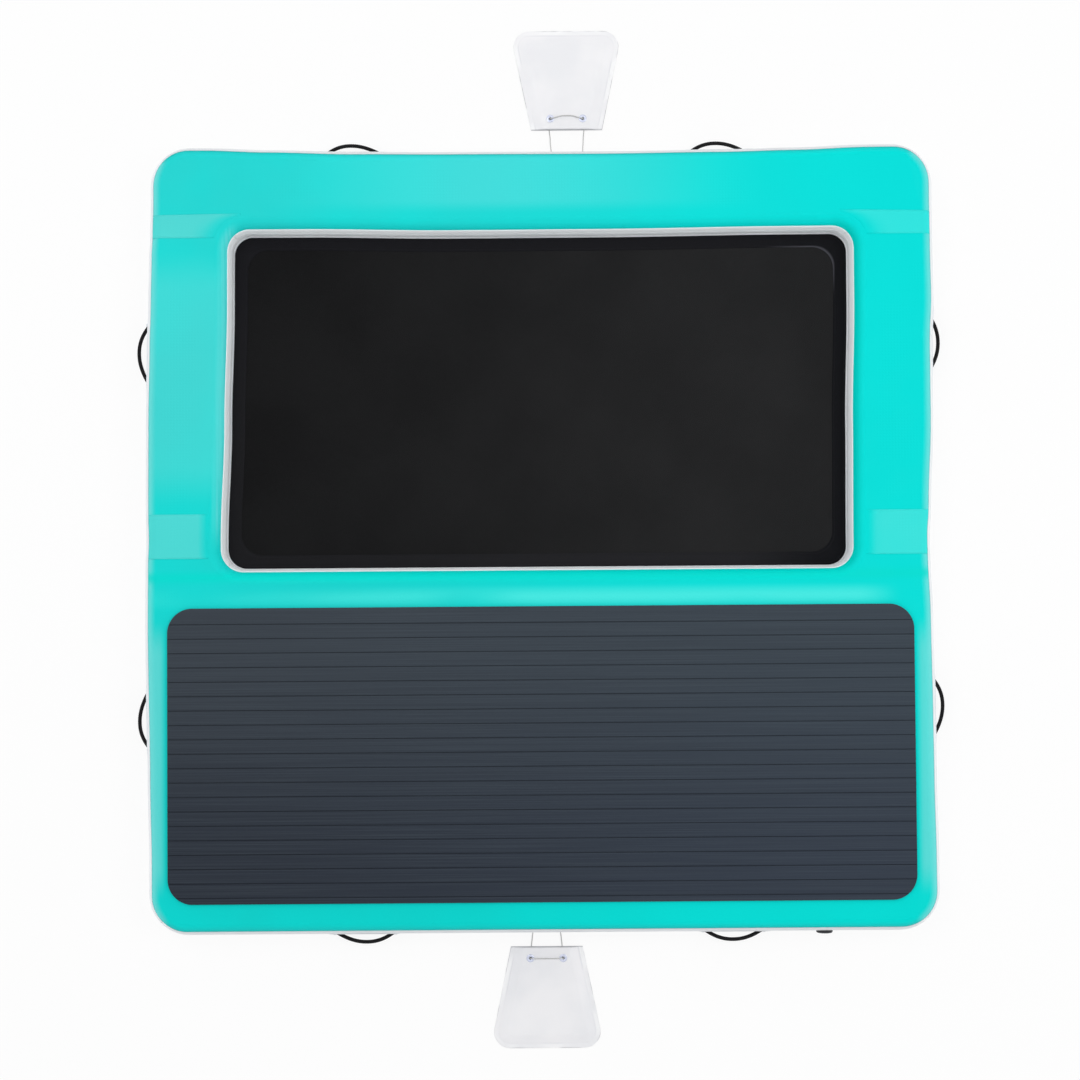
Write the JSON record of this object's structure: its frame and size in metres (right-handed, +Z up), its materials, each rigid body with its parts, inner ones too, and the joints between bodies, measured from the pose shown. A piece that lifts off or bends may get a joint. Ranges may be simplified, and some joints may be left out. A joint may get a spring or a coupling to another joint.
{
  "type": "inflatable floating platform",
  "caption": "Square inflatable floating platform with a foam deck pad, a net lounge in an opening, rope grab handles, an inflation valve and ballast bags on cords.",
  "frame": {"origin": "on the ground under the middle of the platform, halfway between the handles' outer ends", "axes": "+X to the right of a person on the front deck who looks at the net, +Y to the rear where the net is, +Z up"},
  "size_m": [2.5558, 3.249, 0.1559],
  "materials": {
    "pvc_teal": "satin coated fabric",
    "pvc_teal_light": "satin coated fabric",
    "pvc_white": "satin coated fabric",
    "pvc_bottom": "satin coated fabric",
    "bag_white": "satin coated fabric",
    "net_black": "fine open weave",
    "webbing_black": "woven webbing",
    "eva_slate": "closed-cell foam with grooves",
    "rope_black": "braided",
    "cord_white": "braided",
    "polyester_yarn": "spun yarn",
    "eyelet_nickel": "plated",
    "valve_plastic": "moulded",
    "gasket_rubber": "moulded",
    "spring_steel": "drawn wire"
  },
  "bodies": {
    "hull": {"bottom_skin_front_deck": "pvc_bottom", "bottom_skin_left_beam": "pvc_bottom", "bottom_skin_rear_beam": "pvc_bottom", "bottom_skin_right_beam": "pvc_bottom", "deck_pad": "eva_slate", "drop_yarn_frame": "polyester_yarn", "drop_yarn_front_deck": "polyester_yarn", "handle_patch_front_left": "pvc_white", "handle_patch_front_right": "pvc_white", "handle_patch_left_front": "pvc_white", "handle_patch_left_rear": "pvc_white", "handle_patch_rear_left": "pvc_white", "handle_patch_rear_right": "pvc_white", "handle_patch_right_front": "pvc_white", "handle_patch_right_rear": "pvc_white", "inner_rail_front": "pvc_white", "inner_rail_left": "pvc_white", "inner_rail_rear": "pvc_white", "inner_rail_right": "pvc_white", "lanyard_anchor_front": "pvc_white", "lanyard_anchor_rear": "pvc_white", "lounge_net": "net_black", "net_flange": "pvc_white", "net_hem": "webbing_black", "outer_rail_front": "pvc_white", "outer_rail_left": "pvc_white", "outer_rail_rear": "pvc_white", "outer_rail_right": "pvc_white", "seam_band_left_front": "pvc_teal_light", "seam_band_left_rear": "pvc_teal_light", "seam_band_right_front": "pvc_teal_light", "seam_band_right_rear": "pvc_teal_light", "top_skin_front_deck": "pvc_teal", "top_skin_left_beam": "pvc_teal", "top_skin_rear_beam": "pvc_teal", "top_skin_right_beam": "pvc_teal", "valve_body": "valve_plastic", "valve_gasket": "gasket_rubber", "valve_nut": "valve_plastic", "valve_spring": "spring_steel"},
    "bag_front": {"ballast_bag_front_cord": "cord_white", "ballast_bag_front_eyelet_left": "eyelet_nickel", "ballast_bag_front_eyelet_right": "eyelet_nickel", "ballast_bag_front_lower_panel": "bag_white", "ballast_bag_front_upper_panel": "bag_white"},
    "bag_rear": {"ballast_bag_rear_cord": "cord_white", "ballast_bag_rear_eyelet_left": "eyelet_nickel", "ballast_bag_rear_eyelet_right": "eyelet_nickel", "ballast_bag_rear_lower_panel": "bag_white", "ballast_bag_rear_upper_panel": "bag_white"},
    "handle_front_left": {"grab_handle_front_left": "rope_black"},
    "handle_front_right": {"grab_handle_front_right": "rope_black"},
    "handle_left_front": {"grab_handle_left_front": "rope_black"},
    "handle_left_rear": {"grab_handle_left_rear": "rope_black"},
    "handle_rear_left": {"grab_handle_rear_left": "rope_black"},
    "handle_rear_right": {"grab_handle_rear_right": "rope_black"},
    "handle_right_front": {"grab_handle_right_front": "rope_black"},
    "handle_right_rear": {"grab_handle_right_rear": "rope_black"},
    "valve_cap": {"valve_cap": "valve_plastic"},
    "valve_poppet": {"valve_poppet": "valve_plastic"}
  },
  "joints": [
    {"name": "handle_front_left_swing", "type": "hinge", "parent": "hull", "child": "handle_front_left", "pos_m": [-0.56, -1.23386, 0.03713], "axis": [-1, 0, 0], "range_deg": [-80, 60]},
    {"name": "handle_front_right_swing", "type": "hinge", "parent": "hull", "child": "handle_front_right", "pos_m": [0.602, -1.23386, 0.03713], "axis": [-1, 0, 0], "range_deg": [-80, 60]},
    {"name": "handle_rear_left_swing", "type": "hinge", "parent": "hull", "child": "handle_rear_left", "pos_m": [-0.586, 1.23386, 0.03713], "axis": [1, 0, 0], "range_deg": [-80, 60]},
    {"name": "handle_rear_right_swing", "type": "hinge", "parent": "hull", "child": "handle_rear_right", "pos_m": [0.575, 1.23386, 0.03713], "axis": [1, 0, 0], "range_deg": [-80, 60]},
    {"name": "handle_left_front_swing", "type": "hinge", "parent": "hull", "child": "handle_left_front", "pos_m": [-1.24136, -0.558, 0.03713], "axis": [0, 1, 0], "range_deg": [-80, 60]},
    {"name": "handle_left_rear_swing", "type": "hinge", "parent": "hull", "child": "handle_left_rear", "pos_m": [-1.24136, 0.598, 0.03713], "axis": [0, 1, 0], "range_deg": [-80, 60]},
    {"name": "handle_right_front_swing", "type": "hinge", "parent": "hull", "child": "handle_right_front", "pos_m": [1.24136, -0.538, 0.03713], "axis": [0, -1, 0], "range_deg": [-80, 60]},
    {"name": "handle_right_rear_swing", "type": "hinge", "parent": "hull", "child": "handle_right_rear", "pos_m": [1.24136, 0.621, 0.03713], "axis": [0, -1, 0], "range_deg": [-80, 60]},
    {"name": "bag_rear_swing", "type": "hinge", "parent": "hull", "child": "bag_rear", "pos_m": [0.095, 1.22914, 0.03863], "axis": [1, 0, 0], "range_deg": [-80, 60]},
    {"name": "bag_front_swing", "type": "hinge", "parent": "hull", "child": "bag_front", "pos_m": [0.012, -1.22914, 0.03863], "axis": [-1, 0, 0], "range_deg": [-65, 60]},
    {"name": "valve_cap_turn", "type": "hinge", "parent": "hull", "child": "valve_cap", "pos_m": [0.8835, -1.23, 0.075], "axis": [0, -1, 0], "range_deg": [0, 90]},
    {"name": "valve_poppet_press", "type": "slide", "parent": "hull", "child": "valve_poppet", "axis": [0, 1, 0], "range_m": [0, 0.005], "stiffness_N_per_m": 600, "springref_m": -0.004, "deforming": ["valve_spring"]}
  ]
}
